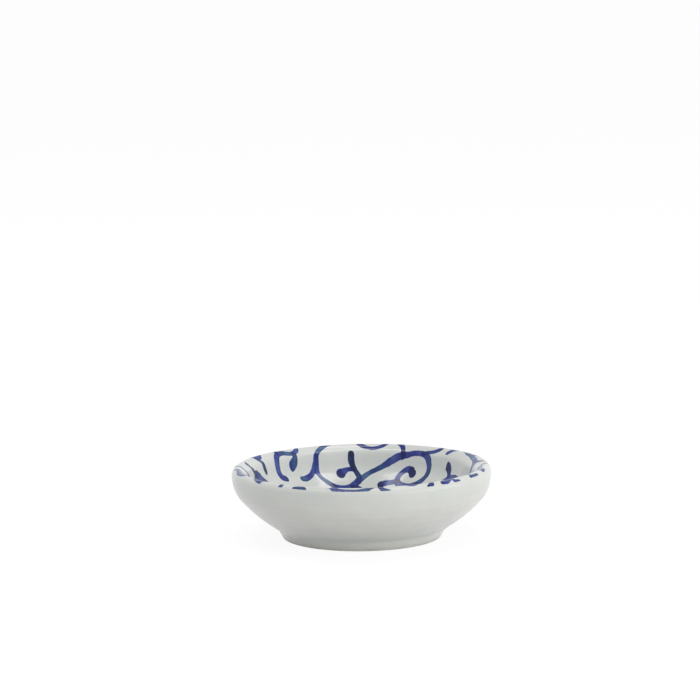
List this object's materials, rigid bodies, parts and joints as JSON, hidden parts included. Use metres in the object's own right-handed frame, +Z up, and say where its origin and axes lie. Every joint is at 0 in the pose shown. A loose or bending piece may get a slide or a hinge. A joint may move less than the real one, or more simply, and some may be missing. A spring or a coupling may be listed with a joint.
{
  "type": "sauce dish",
  "caption": "Small round porcelain sauce dish on a turned foot ring, plain white glaze outside and a blue painted vine scroll with a flower spray inside.",
  "frame": {"origin": "centre of the foot ring's flat bottom, on the surface the dish stands on", "axes": "+Z up along the dish's centre line; -Y is the side nearest the viewer in the picture's side view, +X to the right"},
  "size_m": [0.095, 0.095, 0.0264],
  "materials": {
    "porcelain": "matte, unglazed where bare on the foot ring",
    "inside_glaze": "gloss",
    "outside_glaze": "gloss",
    "scroll_blue": "gloss, cobalt blue",
    "deep_blue": "gloss, dark cobalt blue",
    "pale_blue": "gloss, thin wash of cobalt blue"
  },
  "bodies": {
    "root": {"clay_body": "porcelain", "inner_glaze": "inside_glaze", "outer_glaze": "outside_glaze", "base_glaze": "outside_glaze", "back_scroll": "scroll_blue", "right_scroll": "scroll_blue", "front_scroll": "scroll_blue", "left_scroll": "scroll_blue", "petal_lines": "deep_blue", "dark_leaves": "deep_blue", "pale_leaves": "pale_blue", "flower_hearts": "deep_blue"}
  },
  "joints": []
}
